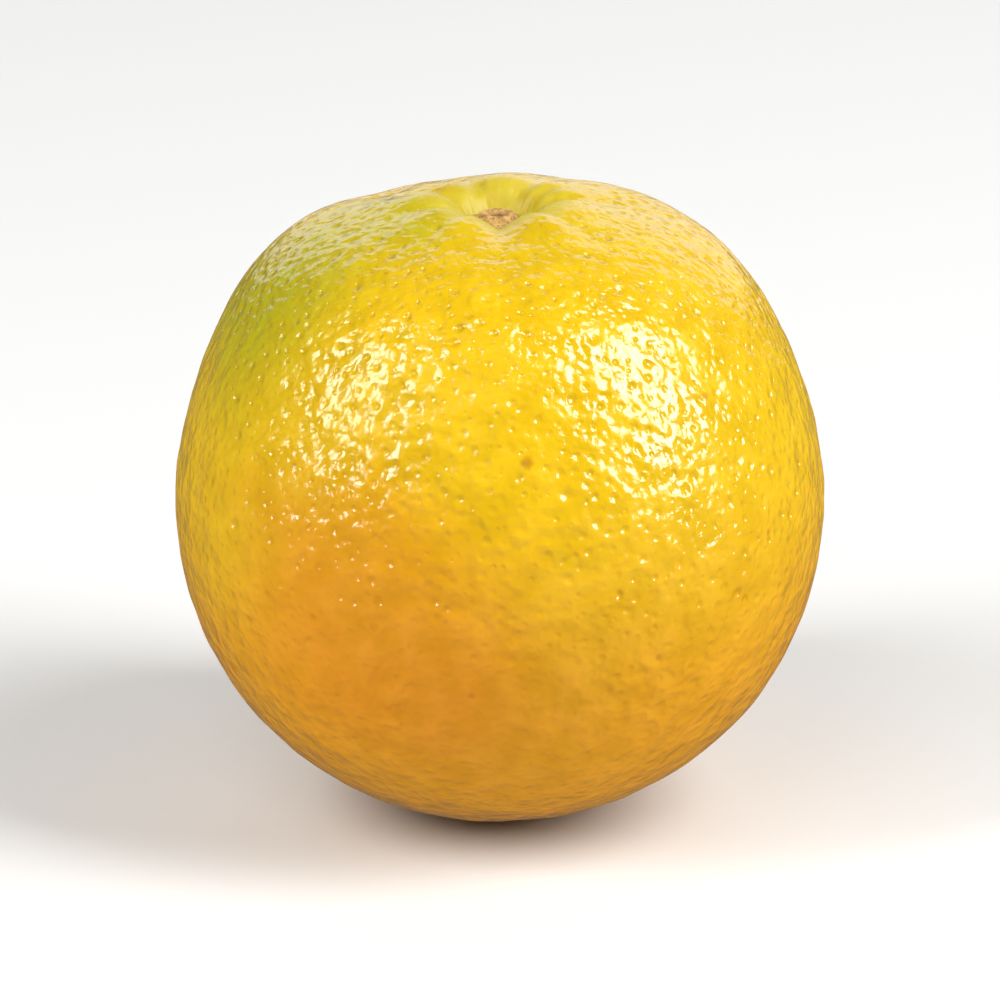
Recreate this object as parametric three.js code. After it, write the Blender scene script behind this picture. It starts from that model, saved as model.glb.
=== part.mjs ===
// A whole sweet orange, standing stem end up. Millimetres, +Z up.
// The origin is the centre of the small flat spot that the fruit rests on.

import * as THREE from 'three';
import { ConvexHull } from 'three/addons/math/ConvexHull.js';

// Body: a ball with swollen shoulders and a flatter crown. Angles are in radians from the stem end.
const body = { radius: 38.85, centreHeight: 38, crownFlatten: 0.034, baseFlatten: 0.012, unevenness: 0.16 };
const shoulder = { swell: 0.048, angle: 0.7, spread: 0.35 };
const cavity = { depth: 4.6, spread: 6.5 };

// Seat: the flat floor of the cavity, which the stem button sits on
const seat = { radius: 4.5, height: 72.5 };

// Furrows: creases that run out over the shoulders from the seat, with plump lobes between them.
// Azimuths are in degrees from +X; a strength of 1 is the deepest crease.
const furrows = [
  { azimuth: 10, strength: 0.7, width: 1 },
  { azimuth: 36, strength: 0.45, width: 1 },
  { azimuth: 67, strength: 0.85, width: 1 },
  { azimuth: 104, strength: 0.8, width: 1 },
  { azimuth: 143, strength: 1, width: 1.1 },
  { azimuth: 196, strength: 0.7, width: 1 },
  { azimuth: 234, strength: 0.5, width: 1 },
  { azimuth: 271, strength: 1, width: 1.7 },
  { azimuth: 318, strength: 0.5, width: 1 },
];
const lobe = { height: 1.95, start: 3.9, crest: 6.2, fade: 5.4 };
const groove = { depth: 0.5, start: 7, crest: 12, fade: 9 };
const crease = { width: 0.35, widening: 0.15, sharpness: 1.3 };

// Corners set along each crease, further apart as it runs out; close to the seat the lobes have theirs too
const creaseCorners = { start: 5.4, end: 20, step: 1.1, growth: 0.08, lobeShares: [0.25, 0.5, 0.75] };

// Swellings and hollows of this one fruit: where each lies, how wide it is and how far it stands out
const swellings = [
  { azimuth: 42, distance: 19, spread: 8, height: 0.75 },
  { azimuth: 14, distance: 24, spread: 8, height: 0.3 },
  { azimuth: 86, distance: 17, spread: 5, height: 0.4 },
  { azimuth: 139, distance: 18, spread: 4, height: -0.6 },
  { azimuth: 153, distance: 24, spread: 6, height: 0.5 },
  { azimuth: 160, distance: 32, spread: 9, height: 0.45 },
  { azimuth: 188, distance: 11, spread: 5, height: 0.3 },
  { azimuth: 240, distance: 9, spread: 4, height: 0.5 },
  { azimuth: 271, distance: 7.5, spread: 3.2, height: -0.75 },
  { azimuth: 304, distance: 9, spread: 4.5, height: 0.5 },
];

// Peel relief: oil pores pressed in, in a raised net
const pores = { count: 1560, scatter: 0.06, pit: 0.3, net: 0.1 };
const poreDepths = { shallowest: 0.6, deepest: 1.4, seed: 5000 };
const poreFree = { stem: 8, crease: 1.4, base: 7.2 };

// Base: the flat spot, with the stylar scar as a shallow dimple in its middle
const flatSpot = { radius: 5.6 };
const scar = { radius: 2.1, floorRadius: 1.1, depth: 0.45 };
const ringSides = { seatMiddle: 10, seatEdge: 36, scarFloor: 8, scarEdge: 16, flatMiddle: 20, flatEdge: 30 };

// Stem button: the star of the calyx, with the ring of the broken stalk standing on it
const calyx = { radius: 3.45, lobes: 5, lobeReach: 0.13, edge: 0.4, shoulder: 0.75 };
const stalk = { radius: 2.15, height: 1.35, round: 0.3, oval: 0.05, hollowRadius: 1.15, hollowDepth: 0.55 };
const buttonSides = 40;

const peelFinish = { color: 0xe9ad0c, roughness: 0.42, metalness: 0 };
const buttonFinish = { color: 0xa98350, roughness: 0.85, metalness: 0 };

// A number from 0 to 1 that is always the same for the same whole number
function draw(index) {
  const wave = Math.sin(index * 12.9898 + 4.1) * 43758.5453;
  return wave - Math.floor(wave);
}

function smoothStep(from, to, value) {
  const t = Math.min(1, Math.max(0, (value - from) / (to - from)));
  return t * t * (3 - 2 * t);
}

// Direction that lies the given distance along the skin from the stem end
function direction(distance, azimuth) {
  const polar = distance / body.radius;
  const reach = Math.sin(polar);
  return new THREE.Vector3(reach * Math.cos(azimuth), reach * Math.sin(azimuth), Math.cos(polar));
}

// Directions evenly round a circle that lies the given distance along the skin from the stem end
function ring(distance, count) {
  return Array.from({ length: count }, (_, i) => direction(distance, ((i + 0.5) * 2 * Math.PI) / count));
}

function bell(value, spread) {
  return Math.exp(-((value / spread) ** 2));
}

// How much of a relief is there: nothing at its start, all at its crest, then less as it fades out
function presence({ start, crest, fade }, distance) {
  return smoothStep(start, crest, distance) * bell(Math.max(0, distance - crest), fade);
}

// Height of the lobes and creases at a distance from the stem along the skin
function lobeRelief(distance, azimuth) {
  let cut = 0;
  for (const furrow of furrows) {
    const turn = azimuth - THREE.MathUtils.degToRad(furrow.azimuth);
    const across = distance * Math.abs(Math.atan2(Math.sin(turn), Math.cos(turn)));
    const width = furrow.width * (crease.width + crease.widening * distance);
    cut = Math.max(cut, furrow.strength * Math.exp(-((across / width) ** crease.sharpness)));
  }
  return lobe.height * presence(lobe, distance) * (1 - cut) - groove.depth * presence(groove, distance) * cut;
}

const swellingCentres = swellings.map(({ distance, azimuth }) => {
  return direction(distance, THREE.MathUtils.degToRad(azimuth));
});

function swellingRelief(way) {
  let relief = 0;
  swellings.forEach((swelling, i) => {
    const away = body.radius * way.distanceTo(swellingCentres[i]);
    relief += swelling.height * bell(away, swelling.spread);
  });
  return relief;
}

// Slow waves that keep the body from being perfectly round
function unevenRelief(way) {
  const wave = Math.sin(2.1 * way.x + 1.7 * way.z + 0.6) + Math.sin(2.6 * way.y - 1.9 * way.x + 2.2);
  return body.unevenness * wave * (1 - way.z ** 4);
}

// Point of the skin in a direction from the body's centre, raised by the given relief
function skinPoint(way, relief = 0) {
  const polar = Math.acos(THREE.MathUtils.clamp(way.z, -1, 1));
  const azimuth = Math.atan2(way.y, way.x);
  const distance = polar * body.radius;
  let radius = body.radius * (1 + shoulder.swell * bell(polar - shoulder.angle, shoulder.spread));
  radius -= cavity.depth * bell(distance, cavity.spread);
  radius += lobeRelief(distance, azimuth) + swellingRelief(way) + unevenRelief(way) + relief;
  const point = way.clone().multiplyScalar(radius);
  const flatten = way.z > 0 ? body.crownFlatten : body.baseFlatten;
  point.z *= 1 - flatten * (point.z / body.radius) ** 4;
  point.z += body.centreHeight;
  return point;
}

function seatPoint(way) {
  return skinPoint(way).setZ(seat.height);
}

function basePoint(way) {
  return skinPoint(way).setZ(0);
}

function scarPoint(way) {
  return skinPoint(way).setZ(scar.depth);
}

// Pore centres: an even spiral over the whole ball, each centre then moved a little out of line
function poreDirections() {
  const turn = Math.PI * (3 - Math.sqrt(5));
  return Array.from({ length: pores.count }, (_, i) => {
    const polar = Math.acos(1 - (2 * i + 1) / pores.count) + (draw(2 * i) - 0.5) * pores.scatter;
    const sideways = ((draw(2 * i + 1) - 0.5) * pores.scatter) / Math.sin(polar);
    return direction(polar * body.radius, i * turn + sideways);
  });
}

function hullFaces(ways) {
  return new ConvexHull().setFromPoints(ways).faces;
}

// Directions along the furrows' bottoms and, close to the seat, along the lobes' ridges
function creaseDirections() {
  const azimuths = furrows.map((furrow) => THREE.MathUtils.degToRad(furrow.azimuth));
  const lines = [];
  azimuths.forEach((azimuth, i) => {
    const next = i + 1 < azimuths.length ? azimuths[i + 1] : azimuths[0] + 2 * Math.PI;
    const { start, end, step, growth, lobeShares } = creaseCorners;
    for (let distance = start; distance < end; distance += step + growth * distance) {
      const shares = distance < poreFree.stem ? [0, ...lobeShares] : [0];
      shares.forEach((share) => lines.push(direction(distance, azimuth + share * (next - azimuth))));
    }
  });
  return lines;
}

// The whole fruit as one closed skin: every direction is a corner, and the hull of the directions joins them
function peelGeometry() {
  const corners = new Map();
  const add = (ways, place) => ways.forEach((way) => corners.set(way, place(way)));
  const creases = creaseDirections();
  const centres = poreDirections();
  const clear = (way) => {
    const fromStem = Math.acos(way.z) * body.radius;
    const fromBase = Math.PI * body.radius - fromStem;
    const open = fromStem > poreFree.stem && fromBase > poreFree.base;
    return open && creases.every((line) => line.distanceTo(way) * body.radius > poreFree.crease);
  };
  const depths = new Map(centres.map((way, i) => {
    const share = THREE.MathUtils.lerp(poreDepths.shallowest, poreDepths.deepest, draw(poreDepths.seed + i));
    return [way, pores.pit * share];
  }));
  const net = hullFaces(centres).map((face) => face.normal.clone());
  add(centres.filter(clear), (way) => skinPoint(way, -depths.get(way)));
  add(net.filter(clear), (way) => skinPoint(way, pores.net));
  add(creases, (way) => skinPoint(way));
  const baseRing = (distance, count) => ring(Math.PI * body.radius - distance, count);
  const flatMiddle = (scar.radius + flatSpot.radius) / 2;
  add([direction(0, 0), ...ring(seat.radius / 2, ringSides.seatMiddle)], seatPoint);
  add(ring(seat.radius, ringSides.seatEdge), seatPoint);
  add(baseRing(scar.radius, ringSides.scarEdge), basePoint);
  add(baseRing(flatMiddle, ringSides.flatMiddle), basePoint);
  add(baseRing(flatSpot.radius, ringSides.flatEdge), basePoint);
  add([new THREE.Vector3(0, 0, -1), ...baseRing(scar.floorRadius, ringSides.scarFloor)], scarPoint);
  return facesGeometry(hullFaces([...corners.keys()]), corners);
}

function facesGeometry(faces, corners) {
  const positions = [];
  for (const face of faces) {
    for (let step = 0, edge = face.edge; step < 3; step += 1, edge = edge.next) {
      positions.push(...corners.get(edge.head().point).toArray());
    }
  }
  const geometry = new THREE.BufferGeometry();
  geometry.setAttribute('position', new THREE.Float32BufferAttribute(positions, 3));
  geometry.computeVertexNormals();
  return geometry;
}

// Profile of the button from the middle of its underside round to the middle of the stalk's hollow
function buttonProfile() {
  const lip = (stalk.radius + stalk.hollowRadius) / 2;
  return [
    [0, 0],
    [calyx.radius * 0.55, 0],
    [calyx.radius * 0.94, 0],
    [calyx.radius, calyx.edge * 0.5],
    [calyx.radius * 0.95, calyx.edge],
    [stalk.radius + stalk.round, calyx.shoulder],
    [stalk.radius, stalk.height - stalk.round],
    [lip, stalk.height],
    [stalk.hollowRadius, stalk.height - stalk.round / 3],
    [stalk.hollowRadius * 0.6, stalk.height - stalk.hollowDepth],
    [0, stalk.height - stalk.hollowDepth],
  ].map(([x, y]) => new THREE.Vector2(x, y));
}

// The calyx's lobes reach out in a star, and the broken stalk is a little out of round
function buttonGeometry() {
  const geometry = new THREE.LatheGeometry(buttonProfile(), buttonSides).rotateX(Math.PI / 2);
  const corner = new THREE.Vector3();
  const corners = geometry.attributes.position;
  for (let i = 0; i < corners.count; i += 1) {
    corner.fromBufferAttribute(corners, i);
    const azimuth = Math.atan2(corner.y, corner.x);
    const outwards = smoothStep(stalk.radius, calyx.radius, Math.hypot(corner.x, corner.y));
    const star = calyx.lobeReach * Math.cos(calyx.lobes * azimuth + 0.5 * Math.sin(azimuth)) * outwards;
    const oval = stalk.oval * Math.cos(2 * azimuth + 0.7);
    corners.setXYZ(i, corner.x * (1 + star + oval), corner.y * (1 + star + oval), corner.z);
  }
  geometry.computeVertexNormals();
  return geometry;
}

function piece(name, geometry, finish) {
  const mesh = new THREE.Mesh(geometry, new THREE.MeshStandardMaterial(finish));
  mesh.name = name;
  return mesh;
}

const fruit = new THREE.Group();
const button = piece('stem_button', buttonGeometry(), buttonFinish);
button.position.z = seat.height;
fruit.add(piece('orange', peelGeometry(), peelFinish), button);

export default fruit;
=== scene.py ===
import math

import bpy
import numpy as np
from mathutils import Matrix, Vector, noise
from mathutils.kdtree import KDTree


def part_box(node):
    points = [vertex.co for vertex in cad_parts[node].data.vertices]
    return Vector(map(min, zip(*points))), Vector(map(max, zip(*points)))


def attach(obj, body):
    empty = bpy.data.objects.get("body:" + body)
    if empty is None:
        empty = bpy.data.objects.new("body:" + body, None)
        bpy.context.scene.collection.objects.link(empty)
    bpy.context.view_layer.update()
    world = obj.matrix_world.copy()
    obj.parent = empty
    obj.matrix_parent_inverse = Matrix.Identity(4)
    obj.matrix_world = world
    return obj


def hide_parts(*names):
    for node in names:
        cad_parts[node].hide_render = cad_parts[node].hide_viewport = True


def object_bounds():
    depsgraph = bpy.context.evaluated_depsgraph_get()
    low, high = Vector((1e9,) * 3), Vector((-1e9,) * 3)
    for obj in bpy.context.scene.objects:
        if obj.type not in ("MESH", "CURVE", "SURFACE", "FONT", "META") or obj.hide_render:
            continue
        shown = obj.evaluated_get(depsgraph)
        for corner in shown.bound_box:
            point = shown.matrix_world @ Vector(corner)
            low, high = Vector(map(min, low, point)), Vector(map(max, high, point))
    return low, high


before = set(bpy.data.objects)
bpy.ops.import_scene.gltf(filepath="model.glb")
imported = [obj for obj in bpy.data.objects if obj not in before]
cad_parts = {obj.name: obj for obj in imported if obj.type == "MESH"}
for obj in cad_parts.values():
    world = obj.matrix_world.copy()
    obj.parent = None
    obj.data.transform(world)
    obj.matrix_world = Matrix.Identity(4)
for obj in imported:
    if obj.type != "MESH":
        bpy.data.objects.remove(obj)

mm = 0.001
cadLow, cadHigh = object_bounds()
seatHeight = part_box("stem_button")[0].z     # the button stands on the floor of the stem cavity


# Small helpers for pieces

def deselectAll():
    bpy.ops.object.select_all(action="DESELECT")


def namePiece(name):
    piece = bpy.context.object
    piece.name = name
    piece.data.name = name
    return piece


def finishPiece(piece, material, node):
    piece.data.materials.append(material)
    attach(piece, "root")
    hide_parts(node)


# Small helpers for materials

def paint(red, green, blue):
    # a screen colour, 0 to 255, as the linear colour that a shader takes
    shares = [value / 255 for value in (red, green, blue)]
    return tuple(s / 12.92 if s <= 0.04045 else ((s + 0.055) / 1.055) ** 2.4 for s in shares) + (1,)


def fillSocket(tree, socket, value):
    # a socket of another node is linked, anything else is set as a plain value
    if isinstance(value, bpy.types.NodeSocket):
        tree.links.new(value, socket)
    elif value is not None:
        socket.default_value = value


def addNode(tree, kind, **values):
    # values named after an attribute set it, all others fill the input socket of that name
    node = tree.nodes.new(kind)
    for name, value in values.items():
        if hasattr(node, name):
            setattr(node, name, value)
        else:
            fillSocket(tree, node.inputs[name], value)
    return node


def mathNode(tree, operation, first, second, clamp=False):
    node = addNode(tree, "ShaderNodeMath", operation=operation, use_clamp=clamp)
    for socket, value in zip(node.inputs, (first, second)):
        fillSocket(tree, socket, value)
    return node.outputs[0]


def add(tree, first, second):
    return mathNode(tree, "ADD", first, second)


def multiply(tree, first, second, clamp=False):
    return mathNode(tree, "MULTIPLY", first, second, clamp)


def larger(tree, first, second):
    return mathNode(tree, "MAXIMUM", first, second)


def sway(tree, cloud, amount):
    # a noise of 0 to 1 as a push of up to half the amount to either side
    return multiply(tree, mathNode(tree, "SUBTRACT", cloud, 0.5), amount)


def vectorMath(tree, operation, first, second=None, scale=None):
    node = addNode(tree, "ShaderNodeVectorMath", operation=operation)
    for number, value in ((0, first), (1, second), (3, scale)):
        fillSocket(tree, node.inputs[number], value)
    return node.outputs["Value" if operation in ("DISTANCE", "LENGTH") else "Vector"]


def ramp(tree, value, fromLow, fromHigh, toLow=0.0, toHigh=1.0):
    # smooth step between two values
    node = addNode(tree, "ShaderNodeMapRange", interpolation_type="SMOOTHSTEP")
    for socket, number in zip(node.inputs, (value, fromLow, fromHigh, toLow, toHigh)):
        fillSocket(tree, socket, number)
    return node.outputs["Result"]


def mixColours(tree, share, first, second, blend="MIX"):
    node = addNode(tree, "ShaderNodeMix", data_type="RGBA", blend_type=blend)
    for number, value in ((0, share), (6, first), (7, second)):
        fillSocket(tree, node.inputs[number], value)
    return node.outputs[2]


def noiseTexture(tree, place, size, detail, distortion=0.0):
    node = addNode(tree, "ShaderNodeTexNoise", Vector=place, Scale=1 / size, Detail=detail)
    node.inputs["Distortion"].default_value = distortion
    return node.outputs[0]


def makeMaterial(name):
    material = bpy.data.materials.new(name)
    material.use_nodes = True
    return material, material.node_tree, material.node_tree.nodes["Principled BSDF"]


def objectPosition(tree):
    return addNode(tree, "ShaderNodeTexCoord").outputs["Object"]


# Shape of the fruit: a ball with swollen shoulders, a creased stem cavity and a flat base, in millimetres

peelShape = {
    "radius": 38.95, "centreHeight": 38, "crownFlatten": 0.034, "baseFlatten": 0.012,
    "shoulderSwell": 0.048, "shoulderAngle": 0.7, "shoulderSpread": 0.35,
    "cavityDepth": 4.6, "cavitySpread": 6.5, "seatInner": 4.3, "seatOuter": 5.3,
    "lobeHeight": 1.95, "lobeReach": (3.9, 6.2, 5.4),       # start, crest and fade, from the stem
    "grooveDepth": 0.5, "grooveReach": (7, 12, 9),
    "creaseWidth": 0.35, "creaseWidening": 0.15, "creaseSharpness": 1.3,
    "scarFloor": 0.9, "scarEdge": 2.2, "scarDepth": 0.45,
    "cuts": (63, 1),                                        # of each cube edge, for quads of about 0.45 mm
    # turns along x, y and z, and where the wave starts
    "unevenness": 0.16, "waves": [(2.1, 0, 1.7, 0.6), (-1.9, 2.6, 0, 2.2)],
    # azimuth in degrees, strength, width
    "furrows": [
        (10, 0.7, 1), (36, 0.45, 1), (63, 0.75, 1), (113, 0.7, 1), (148, 0.9, 1.1),
        (196, 0.7, 1), (234, 0.5, 1), (271, 1, 1.7), (318, 0.5, 1),
    ],
    # azimuth in degrees, distance from the stem, spread, height
    "swellings": [
        (42, 19, 8, 0.75), (14, 24, 8, 0.3), (86, 17, 5, 0.4), (139, 18, 4, -0.6), (153, 24, 6, 0.5),
        (160, 32, 9, 0.45), (188, 11, 5, 0.3), (240, 9, 4, 0.5), (271, 7.5, 3.2, -0.75), (304, 9, 4.5, 0.5),
    ],
}


def smoothStep(low, high, value):
    share = np.clip((value - low) / (high - low), 0, 1)
    return share * share * (3 - 2 * share)


def bell(value, spread):
    return np.exp(-(value / spread) ** 2)


def presence(distance, start, crest, fade):
    # rises from the start to the crest and fades away beyond it
    return smoothStep(start, crest, distance) * bell(np.maximum(0, distance - crest), fade)


def polarAngle(ways):
    return np.arccos(np.clip(ways[:, 2], -1, 1))


def stemDirection(distance, azimuth):
    polar = distance / peelShape["radius"]
    turn = math.radians(azimuth)
    return np.array([math.sin(polar) * math.cos(turn), math.sin(polar) * math.sin(turn), math.cos(polar)])


def creaseCut(azimuth, distance):
    # up to 1 in the middle of a crease, 0 beside it
    cut = np.zeros(len(azimuth))
    for furrowAzimuth, strength, width in peelShape["furrows"]:
        turn = azimuth - math.radians(furrowAzimuth)
        across = distance * np.abs(np.arctan2(np.sin(turn), np.cos(turn)))
        across /= width * (peelShape["creaseWidth"] + peelShape["creaseWidening"] * distance)
        cut = np.maximum(cut, strength * np.exp(-across ** peelShape["creaseSharpness"]))
    return cut


def skinRadius(ways):
    # how far the bare skin is from the body's centre, in the given directions
    shape = peelShape
    polar = polarAngle(ways)
    distance = polar * shape["radius"]
    shoulders = shape["shoulderSwell"] * bell(polar - shape["shoulderAngle"], shape["shoulderSpread"])
    radius = shape["radius"] * (1 + shoulders)
    radius -= shape["cavityDepth"] * bell(distance, shape["cavitySpread"])
    cut = creaseCut(np.arctan2(ways[:, 1], ways[:, 0]), distance)
    radius += shape["lobeHeight"] * presence(distance, *shape["lobeReach"]) * (1 - cut)
    radius -= shape["grooveDepth"] * presence(distance, *shape["grooveReach"]) * cut
    for azimuth, stemDistance, spread, height in shape["swellings"]:
        away = np.linalg.norm(ways - stemDirection(stemDistance, azimuth), axis=1) * shape["radius"]
        radius += height * bell(away, spread)
    x, y, z = ways.T
    waves = sum(np.sin(alongX * x + alongY * y + alongZ * z + start)
                for alongX, alongY, alongZ, start in shape["waves"])
    return radius + shape["unevenness"] * waves * (1 - z ** 4)


def skinPoints(ways):
    # the skin with its flattened ends, the button's seat and the scar, in millimetres
    shape = peelShape
    z = ways[:, 2]
    points = ways * skinRadius(ways)[:, None]
    flatten = np.where(z > 0, shape["crownFlatten"], shape["baseFlatten"])
    points[:, 2] *= 1 - flatten * (points[:, 2] / shape["radius"]) ** 4
    points[:, 2] += shape["centreHeight"]
    onSkin = smoothStep(shape["seatInner"], shape["seatOuter"], polarAngle(ways) * shape["radius"])
    points[:, 2] = seatHeight / mm * (1 - onSkin) + points[:, 2] * onSkin
    fromBase = np.hypot(points[:, 0], points[:, 1])
    scar = shape["scarDepth"] * (1 - smoothStep(shape["scarFloor"], shape["scarEdge"], fromBase))
    points[:, 2] = np.where(z < 0, np.maximum(points[:, 2], scar), points[:, 2])
    return points


def makeFruitBody():
    deselectAll()
    bpy.ops.mesh.primitive_cube_add(size=2)
    fruit = namePiece("wholeOrange")
    bpy.ops.object.mode_set(mode="EDIT")
    bpy.ops.mesh.select_all(action="SELECT")
    for cuts in peelShape["cuts"]:
        bpy.ops.mesh.subdivide(number_cuts=cuts)
    bpy.ops.object.mode_set(mode="OBJECT")
    corners = np.empty(len(fruit.data.vertices) * 3)
    fruit.data.vertices.foreach_get("co", corners)
    ways = np.tan(corners.reshape(-1, 3) * math.pi / 4)      # evens out the squares over the ball
    ways /= np.linalg.norm(ways, axis=1)[:, None]
    fruit.data.vertices.foreach_set("co", (skinPoints(ways) * mm).ravel())
    fruit.data.update()
    bpy.ops.object.shade_smooth()
    return fruit, ways


# Peel relief: oil pores pressed into the skin, deepest on the shoulders

pores = {
    "count": 5300, "scatter": 0.21, "seed": 7,
    "roomShares": (0.62, 1.0),                # radius of a pit, as a share of the room it has
    "sizes": (0.3, 1.1),                      # least and largest radius, in millimetres
    "strengths": (0.45, 1.05), "steepShare": 0.25, "steepness": 1.4,
    # how high on the ball, -1 to 1, the pores grow deeper, and how shallow they are below that
    "bellyHeights": (-0.7, 0.25), "shoulderHeights": (0.45, 0.75), "baseStrength": 0.3, "shoulderGain": 0.3,
    "stemCalm": 0.6, "stemCalmReach": 6,
    # in the mesh: reach times the pit's radius, depth times its strength, waves as size and depth in mm
    "dimpleReach": 1.15, "dimpleDepth": 0.1, "waves": [(5.0, 0.13), (2.6, 0.07)],
    "seatMargin": 1, "baseHeights": (-0.995, -0.96),
    # in the material, in metres
    "pitDepth": 0.23 * mm, "raggedness": 0.7, "raggedSize": 0.9 * mm,
    "swellSize": 2.0 * mm, "swellDepth": 0.58 * mm, "grainSize": 0.7 * mm, "grainDepth": 0.09 * mm,
    "calmReach": (6 * mm, 18 * mm, 0.3, 1),   # near and far from the button, and the relief there
    "rayCount": 4, "rayDepth": 0.32 * mm, "rayChange": 0.09 / mm,
    "rayReach": (17 * mm, 5 * mm), "rayHeights": (60 * mm, 70 * mm),
}


def placePores():
    # an even spiral over the ball, shaken a little, with a pit size and a strength for each pore
    count = pores["count"]
    chance = np.random.default_rng(pores["seed"])
    index = np.arange(count) + 0.5
    height = 1 - 2 * index / count
    turn = index * math.pi * (3 - math.sqrt(5))
    ring = np.sqrt(1 - height ** 2)
    ways = np.stack([ring * np.cos(turn), ring * np.sin(turn), height], axis=1)
    spacing = math.sqrt(4 * math.pi / count)
    ways += chance.normal(scale=pores["scatter"] * spacing, size=ways.shape)
    ways /= np.linalg.norm(ways, axis=1)[:, None]
    tree = KDTree(count)
    for number, way in enumerate(ways):
        tree.insert(way, number)
    tree.balance()
    room = np.array([tree.find_n(way, 2)[1][2] for way in ways]) * peelShape["radius"]
    sizes = np.clip(chance.uniform(*pores["roomShares"], count) * room / 2, *pores["sizes"])
    strengths = chance.uniform(*pores["strengths"], count) * sizes
    strengths *= np.where(chance.random(count) < pores["steepShare"], pores["steepness"], 1)
    belly = smoothStep(*pores["bellyHeights"], ways[:, 2])
    shoulders = smoothStep(*pores["shoulderHeights"], ways[:, 2])
    base = pores["baseStrength"]
    strengths *= base + (1 - base) * belly + pores["shoulderGain"] * shoulders
    strengths *= 1 - pores["stemCalm"] * bell(polarAngle(ways) * peelShape["radius"], pores["stemCalmReach"])
    return ways, tree, sizes, strengths


def nearestPores(tree, ways):
    return np.array([tree.find(way)[1] for way in ways])


def pressDimples(fruit, ways, centres, tree, sizes, strengths):
    # soft dimples and a slow unevenness in the mesh
    radius = peelShape["radius"]
    nearest = nearestPores(tree, ways)
    away = np.linalg.norm(ways - centres[nearest], axis=1) * radius
    away /= sizes[nearest] * pores["dimpleReach"]
    depth = pores["dimpleDepth"] * strengths[nearest] * (1 - smoothStep(0, 1, away))
    for number, way in enumerate(ways):
        for size, waveDepth in pores["waves"]:
            depth[number] += waveDepth * noise.noise(way * radius / size)
    seatOuter = peelShape["seatOuter"] + pores["seatMargin"]
    depth *= smoothStep(peelShape["seatInner"], seatOuter, polarAngle(ways) * radius)
    depth *= smoothStep(*pores["baseHeights"], ways[:, 2])
    normals = np.empty(len(ways) * 3)
    fruit.data.vertex_normals.foreach_get("vector", normals)
    points = np.empty(len(ways) * 3)
    fruit.data.vertices.foreach_get("co", points)
    points -= (normals.reshape(-1, 3) * depth[:, None] * mm).ravel()
    fruit.data.vertices.foreach_set("co", points)
    fruit.data.update()


def markPits(fruit, ways, centres, tree, sizes, strengths):
    # for each face corner its place in the nearest pit, in pit radii, and for each face that pit's strength
    corners = np.empty(len(fruit.data.loops), dtype=np.int32)
    fruit.data.loops.foreach_get("vertex_index", corners)
    corners = corners.reshape(-1, 4)
    middles = ways[corners].mean(axis=1)
    middles /= np.linalg.norm(middles, axis=1)[:, None]
    owner = nearestPores(tree, middles)
    place = (ways[corners] - centres[owner][:, None, :]) * peelShape["radius"]
    place /= sizes[owner][:, None, None]
    field = fruit.data.attributes.new("porePlace", "FLOAT_VECTOR", "CORNER")
    field.data.foreach_set("vector", place.astype(np.float32).ravel())
    field = fruit.data.attributes.new("poreStrength", "FLOAT", "FACE")
    field.data.foreach_set("value", strengths[owner].astype(np.float32))


def pressPores(fruit, ways):
    pits = placePores()
    pressDimples(fruit, ways, *pits)
    markPits(fruit, ways, *pits)
    print("pores pressed")


# Peel material

peelFinish = {
    "yellow": paint(220, 179, 0), "gold": paint(218, 166, 0), "orange": paint(222, 134, 0),
    "green": paint(160, 164, 2), "deepGreen": paint(100, 118, 2), "amber": paint(206, 134, 0),
    "scarBrown": paint(112, 78, 34), "fleck": paint(178, 104, 18),
    "cloudSize": 24 * mm, "cloudTurn": (0.6, 0.9, 0.4), "cloudDetail": 2.5, "cloudDistortion": 0.3,
    "mottleSize": 4 * mm, "mottleDetail": 4.0,
    # heights on the fruit, 1 at the top and -1 at the base, moved by the clouds; the gold and orange lower
    # down are partly the peel's own colour and partly painted shade
    "heights": (0, 76 * mm, -1, 1), "goldHeights": (0.6, -0.3), "goldSway": 0.5,
    "lowHeights": (0.2, -0.6), "lowDrift": 0.25, "lowShare": 0.4,
    # soft patches: their middle and reach
    "patchSway": 0.6, "patchCore": 0.25,
    # the orange patch low on the front left is partly the peel's own colour and partly painted shade
    "orangeSpot": (-16 * mm, -36 * mm, 33 * mm), "orangeReach": 27 * mm, "orangeShare": 0.6,
    "greenSpot": (-26 * mm, -9 * mm, 68 * mm), "greenReach": 22 * mm,
    "crownSpot": (-14 * mm, -3 * mm, 74 * mm), "crownReach": 19 * mm, "crownShare": 0.8,
    # green round the stem: drift with the clouds, outer and inner distance, share
    "stemTop": (0, 0, 75 * mm),
    "stemRings": [(6 * mm, 17 * mm, 8 * mm, 0.75), (10 * mm, 34 * mm, 12 * mm, 0.3)],
    "greenMottle": (0.2, 0.75, 0.6, 1.0), "greenShare": 0.85,
    "poreShare": 0.1, "tintMottle": (0.25, 0.75, 0.9, 1.06),
    "fleckCell": 8 * mm, "fleckEdge": (0.07, 0.03, 0, 0.45),
    "blemishSpot": (3.4 * mm, -35.9 * mm, 54.8 * mm), "blemishDrift": 2.2 * mm,
    "blemishEdge": (2.3 * mm, 1.6 * mm, 0, 0.5),
    "scarEdge": (2.7 * mm, 1.7 * mm), "scarShare": 0.9,
    "roughMottle": (0.3, 0.7, 0.16, 0.27), "dullReach": (11 * mm, 7 * mm), "dullness": 0.38,
    "indexOfRefraction": 1.8, "shineTint": (1, 0.97, 0.92, 1),
    "glow": 0.4, "glowRadius": (1.0, 0.5, 0.08), "glowScale": 1.5 * mm,
}


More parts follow.
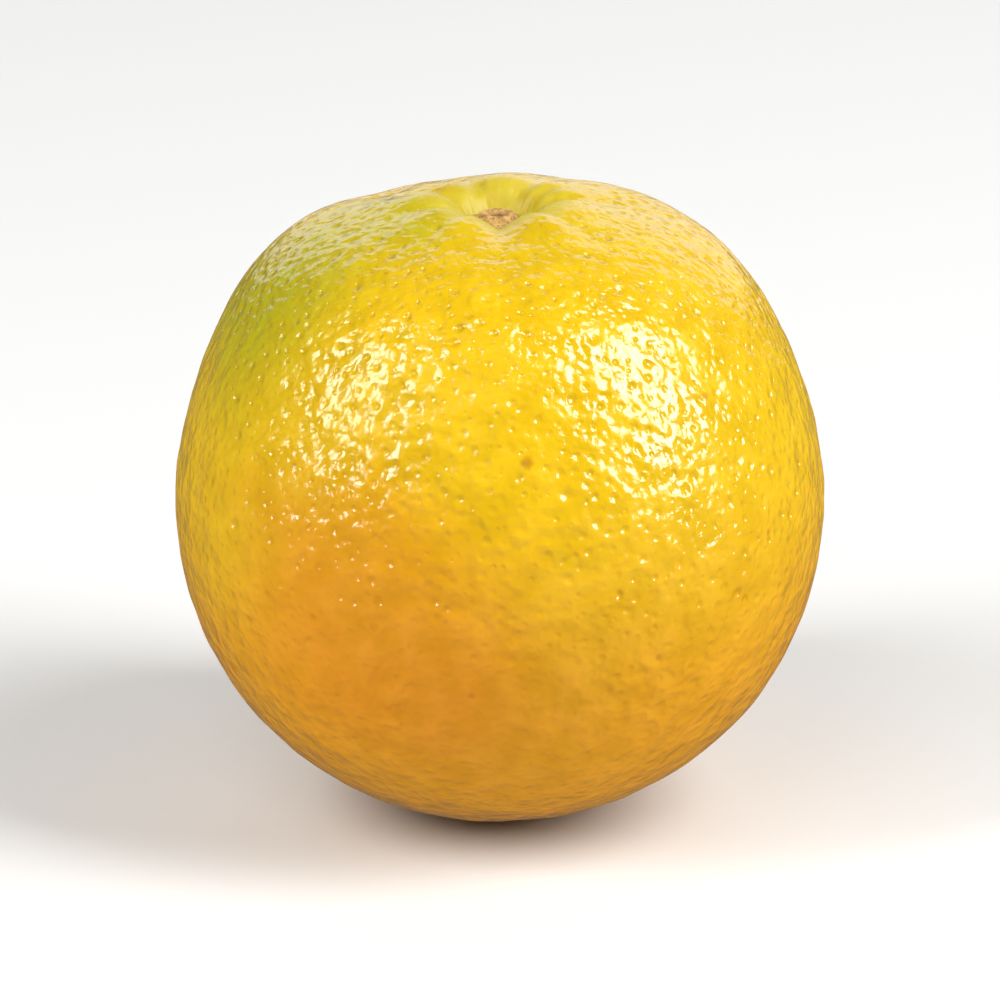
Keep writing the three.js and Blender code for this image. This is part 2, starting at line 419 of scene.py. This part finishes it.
def porePit(tree, position):
    # about 1 in the middle of an oil pore, 0 on the skin between, weaker where the pore is shallow
    place = addNode(tree, "ShaderNodeAttribute", attribute_name="porePlace").outputs["Vector"]
    strength = addNode(tree, "ShaderNodeAttribute", attribute_name="poreStrength").outputs["Fac"]
    ragged = noiseTexture(tree, position, pores["raggedSize"], 1.0)
    away = vectorMath(tree, "LENGTH", place)
    edge = add(tree, away, multiply(tree, sway(tree, ragged, pores["raggedness"]), away))
    return multiply(tree, ramp(tree, edge, 1.0, 0.0), strength)


def patchMask(tree, position, name, clouds):
    # soft round patch with a wandering edge
    reach = peelFinish[name + "Reach"]
    away = vectorMath(tree, "DISTANCE", position, peelFinish[name + "Spot"])
    away = add(tree, away, sway(tree, clouds, reach * peelFinish["patchSway"]))
    return ramp(tree, away, reach, reach * peelFinish["patchCore"])


def greenMask(tree, position, clouds, mottle):
    # the green that is left on one shoulder and round the stem
    finish = peelFinish
    crown = multiply(tree, patchMask(tree, position, "crown", clouds), finish["crownShare"])
    green = larger(tree, patchMask(tree, position, "green", clouds), crown)
    fromStem = vectorMath(tree, "DISTANCE", position, finish["stemTop"])
    for drift, outer, inner, share in finish["stemRings"]:
        ring = ramp(tree, add(tree, fromStem, multiply(tree, clouds, drift)), outer, inner)
        green = larger(tree, green, multiply(tree, ring, share))
    return multiply(tree, green, ramp(tree, mottle, *finish["greenMottle"]), clamp=True)


def brownMarks(tree, position, mottle):
    # small marks all over, and a rubbed one on the front
    finish = peelFinish
    cells = addNode(tree, "ShaderNodeTexVoronoi", Vector=position, Scale=1 / finish["fleckCell"])
    flecks = ramp(tree, cells.outputs["Distance"], *finish["fleckEdge"])
    fromBlemish = vectorMath(tree, "DISTANCE", position, finish["blemishSpot"])
    ragged = add(tree, fromBlemish, multiply(tree, mottle, finish["blemishDrift"]))
    return larger(tree, flecks, ramp(tree, ragged, *finish["blemishEdge"]))


def peelColour(tree, position, pit, mottle):
    finish = peelFinish
    turned = addNode(tree, "ShaderNodeMapping", Vector=position, Rotation=finish["cloudTurn"]).outputs[0]
    clouds = noiseTexture(tree, turned, finish["cloudSize"], finish["cloudDetail"], finish["cloudDistortion"])
    # yellow above, deeper gold and orange lower down: partly the peel's own colour, partly painted shade on
    # the lower half
    height = addNode(tree, "ShaderNodeSeparateXYZ", Vector=position).outputs["Z"]
    height = ramp(tree, height, *finish["heights"])
    tone = add(tree, height, sway(tree, clouds, finish["goldSway"]))
    colour = mixColours(tree, ramp(tree, tone, *finish["goldHeights"]), finish["yellow"], finish["gold"])
    low = add(tree, height, multiply(tree, clouds, finish["lowDrift"]))
    low = multiply(tree, ramp(tree, low, *finish["lowHeights"]), finish["lowShare"])
    colour = mixColours(tree, low, colour, finish["orange"])
    # orange patch on the front left: partly the peel's own colour, partly painted shade
    warmAndShade = multiply(tree, patchMask(tree, position, "orange", clouds), finish["orangeShare"])
    colour = mixColours(tree, warmAndShade, colour, finish["orange"])
    green = greenMask(tree, position, clouds, mottle)
    colour = mixColours(tree, multiply(tree, green, finish["greenShare"]), colour, finish["green"])
    # pores: darker oil under the skin, greener where the peel is green
    poreColour = mixColours(tree, green, finish["amber"], finish["deepGreen"])
    colour = mixColours(tree, multiply(tree, pit, finish["poreShare"]), colour, poreColour)
    tint = ramp(tree, mottle, *finish["tintMottle"])
    grey = addNode(tree, "ShaderNodeCombineColor", Red=tint, Green=tint, Blue=tint).outputs[0]
    colour = mixColours(tree, 1.0, colour, grey, "MULTIPLY")
    colour = mixColours(tree, brownMarks(tree, position, mottle), colour, finish["fleck"])
    # stylar scar under the fruit
    scar = ramp(tree, vectorMath(tree, "LENGTH", position), *finish["scarEdge"])
    return mixColours(tree, multiply(tree, scar, finish["scarShare"]), colour, finish["scarBrown"])


def stemRays(tree, position):
    # fine folds that run out from the stem
    flat = vectorMath(tree, "MULTIPLY", position, (1, 1, 0))
    away = vectorMath(tree, "LENGTH", flat)
    way = vectorMath(tree, "SCALE", vectorMath(tree, "NORMALIZE", flat), scale=pores["rayCount"])
    along = addNode(tree, "ShaderNodeCombineXYZ", Z=multiply(tree, away, pores["rayChange"])).outputs[0]
    folds = noiseTexture(tree, vectorMath(tree, "ADD", way, along), 1.0, 2.0)
    height = addNode(tree, "ShaderNodeSeparateXYZ", Vector=position).outputs["Z"]
    near = multiply(tree, ramp(tree, away, *pores["rayReach"]), ramp(tree, height, *pores["rayHeights"]))
    return multiply(tree, multiply(tree, folds, near), pores["rayDepth"])


def peelRelief(tree, position, pit, fromButton):
    # pits, grain and swells, smoother where the folds run into the stem
    relief = multiply(tree, pit, -pores["pitDepth"])
    grain = noiseTexture(tree, position, pores["grainSize"], 2.0)
    relief = add(tree, relief, multiply(tree, grain, pores["grainDepth"]))
    swell = noiseTexture(tree, position, pores["swellSize"], 1.0)
    relief = add(tree, relief, multiply(tree, swell, pores["swellDepth"]))
    relief = multiply(tree, relief, ramp(tree, fromButton, *pores["calmReach"]))
    return add(tree, relief, stemRays(tree, position))


def peelMaterial():
    finish = peelFinish
    material, tree, shader = makeMaterial("orangePeel")
    position = objectPosition(tree)
    pit = porePit(tree, position)
    mottle = noiseTexture(tree, position, finish["mottleSize"], finish["mottleDetail"])
    tree.links.new(peelColour(tree, position, pit, mottle), shader.inputs["Base Color"])

    fromButton = vectorMath(tree, "DISTANCE", position, (0, 0, seatHeight))
    relief = peelRelief(tree, position, pit, fromButton)
    bump = addNode(tree, "ShaderNodeBump", Strength=1.0, Distance=1.0, Height=relief)
    tree.links.new(bump.outputs[0], shader.inputs["Normal"])

    # duller in the stem cavity
    dull = multiply(tree, ramp(tree, fromButton, *finish["dullReach"]), finish["dullness"])
    rough = add(tree, ramp(tree, mottle, *finish["roughMottle"]), dull)
    tree.links.new(rough, shader.inputs["Roughness"])
    shader.inputs["IOR"].default_value = finish["indexOfRefraction"]
    shader.inputs["Specular Tint"].default_value = finish["shineTint"]
    shader.inputs["Subsurface Weight"].default_value = finish["glow"]
    shader.inputs["Subsurface Radius"].default_value = finish["glowRadius"]
    shader.inputs["Subsurface Scale"].default_value = finish["glowScale"]
    return material


# Stem button: the dry calyx with the ring of the broken stalk, in millimetres

button = {
    "radius": 3.45, "edge": 0.4, "shoulder": 0.75, "height": 1.35, "leastHeight": 0.03,
    "lobes": 5, "lobeReach": 0.13, "lobeLean": 0.5, "ovalness": 0.05, "ovalTurn": 0.7,
    "stalkRadius": 2.15, "stalkWall": (-0.15, 0.4),           # inside and outside the radius
    "hollowRadius": 1.15, "hollowWall": (-0.5, 0.35), "hollowDepth": 0.55,
    "rimStart": 0.93, "rimFall": 0.9, "calmRim": 0.85,        # shares of the way to the rim
    "wrinkle": 0.07, "wrinkleTurns": 4.5, "wrinkleStretch": 0.5, "wrinkleScale": 1.6,
    "wrinkleReach": (0.8, 2.2),                               # fades in between these distances
    "crumble": 0.12, "crumbleScale": 1.7, "calyxCrumble": 0.35,
    "crumbleFractal": (0.8, 2.1, 4),                          # falloff, lacunarity and octaves
    "segments": 180, "rings": 96,
}


def buttonWall(radius, wall, out):
    # 1 inside the radius and 0 outside it, with a wall that slopes a little
    return 1 - smoothStep(radius + wall[0], radius + wall[1], out)


def buttonRoughness(x, y, azimuth, out, onStalk):
    # fine wrinkles that run outwards, and crumbs where the stalk broke off
    turns = button["wrinkleTurns"]
    along = Vector((math.cos(azimuth) * turns, math.sin(azimuth) * turns, out * button["wrinkleStretch"]))
    wrinkles = button["wrinkle"] * noise.noise(along * button["wrinkleScale"])
    crumbs = noise.fractal(Vector((x, y, 0)) * button["crumbleScale"], *button["crumbleFractal"])
    crumbs *= button["crumble"] * (button["calyxCrumble"] + (1 - button["calyxCrumble"]) * onStalk)
    return wrinkles * smoothStep(*button["wrinkleReach"], out) + crumbs


def buttonPoints(ways):
    # the upper half of a ball becomes the button's top, the lower half its flat underside
    azimuth = np.arctan2(ways[:, 1], ways[:, 0])
    polar = polarAngle(ways) / (math.pi / 2)
    share = np.where(polar <= 1, polar, 2 - polar)
    out = share * button["radius"]
    onCalyx = smoothStep(button["stalkRadius"], button["radius"], out)
    lobes = np.cos(button["lobes"] * azimuth + button["lobeLean"] * np.sin(azimuth))
    star = 1 + button["lobeReach"] * lobes * onCalyx
    star += button["ovalness"] * np.cos(2 * azimuth + button["ovalTurn"])
    x = out * star * np.cos(azimuth)
    y = out * star * np.sin(azimuth)
    onStalk = buttonWall(button["stalkRadius"], button["stalkWall"], out)
    top = button["shoulder"] + (button["edge"] - button["shoulder"]) * onCalyx
    top += (button["height"] - button["shoulder"]) * onStalk
    top -= button["hollowDepth"] * buttonWall(button["hollowRadius"], button["hollowWall"], out)
    top *= 1 - button["rimFall"] * smoothStep(button["rimStart"], 1, share)
    rough = [buttonRoughness(*values) for values in zip(x, y, azimuth, out, onStalk)]
    top += np.array(rough) * (1 - smoothStep(button["calmRim"], 1, share))
    z = np.where(polar <= 1, np.clip(top, button["leastHeight"], button["height"]), 0.0)
    return np.stack([x, y, z + seatHeight / mm], axis=1)


def makeButton():
    deselectAll()
    bpy.ops.mesh.primitive_uv_sphere_add(segments=button["segments"], ring_count=button["rings"], radius=1)
    piece = namePiece("dryStemButton")
    ways = np.empty(len(piece.data.vertices) * 3)
    piece.data.vertices.foreach_get("co", ways)
    piece.data.vertices.foreach_set("co", (buttonPoints(ways.reshape(-1, 3)) * mm).ravel())
    piece.data.update()
    bpy.ops.object.shade_smooth_by_angle(angle=math.radians(50))
    print("stem button ready")
    return piece


buttonFinish = {
    "tan": paint(208, 168, 98), "brown": paint(156, 112, 60), "dark": paint(74, 50, 28),
    "greenTan": paint(168, 150, 70), "roughness": 0.85,
    "patchSize": 1.1 * mm, "patchEdge": (0.35, 0.7),
    "speckSize": 0.35 * mm, "speckEdge": (0.58, 0.68, 0, 0.7), "speckRelief": 0.12 * mm,
    "middle": (0, 0, seatHeight + 0.8 * mm), "greenReach": (2.4 * mm, 3.5 * mm, 0, 0.5),
    "hollowReach": (1.6 * mm, 0.9 * mm), "hollowDrift": 0.5 * mm, "hollowShare": 0.7,
}


def buttonMaterial():
    finish = buttonFinish
    material, tree, shader = makeMaterial("dryStem")
    position = objectPosition(tree)
    patches = noiseTexture(tree, position, finish["patchSize"], 5.0)
    specks = noiseTexture(tree, position, finish["speckSize"], 3.0)
    away = vectorMath(tree, "DISTANCE", position, finish["middle"])
    colour = mixColours(tree, ramp(tree, patches, *finish["patchEdge"]), finish["tan"], finish["brown"])
    colour = mixColours(tree, ramp(tree, away, *finish["greenReach"]), colour, finish["greenTan"])
    ragged = add(tree, away, multiply(tree, patches, finish["hollowDrift"]))
    hollow = multiply(tree, ramp(tree, ragged, *finish["hollowReach"]), finish["hollowShare"])
    colour = mixColours(tree, hollow, colour, finish["dark"])
    colour = mixColours(tree, ramp(tree, specks, *finish["speckEdge"]), colour, finish["dark"])
    tree.links.new(colour, shader.inputs["Base Color"])
    bump = addNode(tree, "ShaderNodeBump", Strength=1.0, Distance=finish["speckRelief"], Height=specks)
    tree.links.new(bump.outputs[0], shader.inputs["Normal"])
    shader.inputs["Roughness"].default_value = finish["roughness"]
    return material


# Studio, in metres

studio = {
    "viewElevation": 19, "cameraDistance": 0.95, "frameWidth": 0.120, "sensorWidth": 36, "clip": (0.05, 20),
    "floorRadius": 6, "floorSides": 96, "floorColour": (0.78, 0.78, 0.77, 1), "floorRoughness": 0.6,
    "roomColour": (1, 1, 1, 1), "surround": 0.12,
}

# inShine tells whether the peel mirrors the light
softboxes = {
    "rightBox": {"way": (0.74, -0.27, 0.61), "distance": 1.3, "size": 0.6, "tall": 1.35, "power": 22,
                 "inShine": True},
    "leftBox": {"way": (-0.73, -0.36, 0.58), "distance": 1.3, "size": 0.36, "tall": 1.05, "power": 9.5,
                "inShine": True},
    "backBox": {"way": (0.08, 0.95, 0.3), "distance": 1.5, "size": 2.1, "tall": 1.1, "power": 6,
                "inShine": True},
    "frontFill": {"way": (-0.4, -0.6, 0.7), "distance": 1.6, "size": 1.6, "tall": 1.2, "power": 10.2,
                  "inShine": False},
}


def aimAt(thing, target):
    thing.rotation_euler = (target - thing.location).to_track_quat("-Z", "Y").to_euler()


def makeSoftbox(name, box, centre):
    deselectAll()
    bpy.ops.object.light_add(type="AREA", location=centre + Vector(box["way"]) * box["distance"])
    light = namePiece(name)
    light.data.shape = "ELLIPSE"
    light.data.size = box["size"]
    light.data.size_y = box["tall"]
    light.data.energy = box["power"]
    light.visible_glossy = box["inShine"]
    aimAt(light, centre)


def makeCamera(centre):
    elevation = math.radians(studio["viewElevation"])
    back = Vector((0, -math.cos(elevation), math.sin(elevation)))
    deselectAll()
    bpy.ops.object.camera_add(location=centre + back * studio["cameraDistance"])
    camera = namePiece("photoCamera")
    aimAt(camera, centre)
    camera.data.sensor_width = studio["sensorWidth"]
    camera.data.lens = studio["sensorWidth"] * studio["cameraDistance"] / studio["frameWidth"]
    camera.data.clip_start, camera.data.clip_end = studio["clip"]
    bpy.context.scene.camera = camera


def makeFloor():
    deselectAll()
    sides, radius = studio["floorSides"], studio["floorRadius"]
    bpy.ops.mesh.primitive_circle_add(vertices=sides, radius=radius, fill_type="NGON", location=(0, 0, 0))
    floor = namePiece("studioFloor")
    material, tree, shader = makeMaterial("paleFloor")
    shader.inputs["Base Color"].default_value = studio["floorColour"]
    shader.inputs["Roughness"].default_value = studio["floorRoughness"]
    floor.data.materials.append(material)
    floor.visible_glossy = False            # keeps the pale floor from bleaching the shiny peel


def makeStudio():
    centre = (cadLow + cadHigh) / 2
    makeCamera(centre)
    for name, box in softboxes.items():
        makeSoftbox(name, box, centre)
    makeFloor()
    world = bpy.data.worlds.new("whiteRoom")
    bpy.context.scene.world = world
    world.use_nodes = True
    background = world.node_tree.nodes["Background"]
    background.inputs["Color"].default_value = studio["roomColour"]
    background.inputs["Strength"].default_value = studio["surround"]
    bpy.context.scene.view_settings.view_transform = "Standard"
    print("studio ready")


makeStudio()
fruitPiece, fruitWays = makeFruitBody()
pressPores(fruitPiece, fruitWays)
finishPiece(fruitPiece, peelMaterial(), "orange")
print("fruit ready")
finishPiece(makeButton(), buttonMaterial(), "stem_button")
